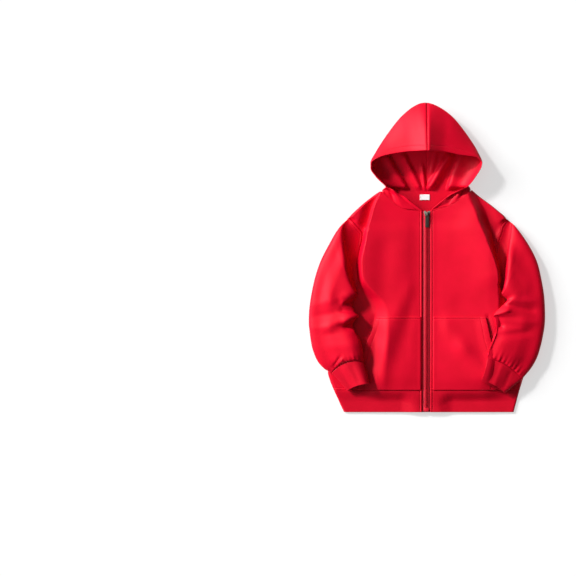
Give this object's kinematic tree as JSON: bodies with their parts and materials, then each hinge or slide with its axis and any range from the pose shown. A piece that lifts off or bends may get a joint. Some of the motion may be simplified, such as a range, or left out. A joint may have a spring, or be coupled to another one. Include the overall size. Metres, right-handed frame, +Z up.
{
  "type": "kids zip hoodie",
  "caption": "Child's fleece zip hoodie laid flat on its back, hood spread and open, sleeves bent down with the cuffs on the front.",
  "frame": {"origin": "on the table under the middle of the whole garment's box: halfway across, halfway between the hem and the tip of the hood", "axes": "+X across to the sleeve on the right of the view from above, +Y from the hem to the hood, +Z up off the table"},
  "size_m": [0.5614, 0.7357, 0.085],
  "materials": {
    "fleece": "brushed cotton fleece",
    "rib": "doubled rib knit",
    "zip_tape": "woven tape",
    "zip_teeth": "moulded teeth",
    "slider_metal": "dull coated metal",
    "pull_metal": "gunmetal",
    "label": "plain woven label"
  },
  "bodies": {
    "garment": {"back_panel": "fleece", "front_l": "fleece", "front_r": "fleece", "sleeve_l": "fleece", "sleeve_r": "fleece", "hood_l": "fleece", "hood_r": "fleece", "pocket_l": "fleece", "pocket_r": "fleece", "cuff_l": "rib", "cuff_r": "rib", "hem_band": "rib", "zip_tape_l": "zip_tape", "zip_tape_r": "zip_tape", "zip_chain": "zip_teeth", "zip_box": "zip_teeth", "zip_slider": "slider_metal", "neck_label": "label"},
    "pull_tab": {"zip_pull": "pull_metal"}
  },
  "joints": [
    {"name": "pull_hinge", "type": "hinge", "parent": "garment", "child": "pull_tab", "pos_m": [0, 0.1036, 0.024], "axis": [-1, 0, 0], "range_deg": [0, 150]}
  ]
}
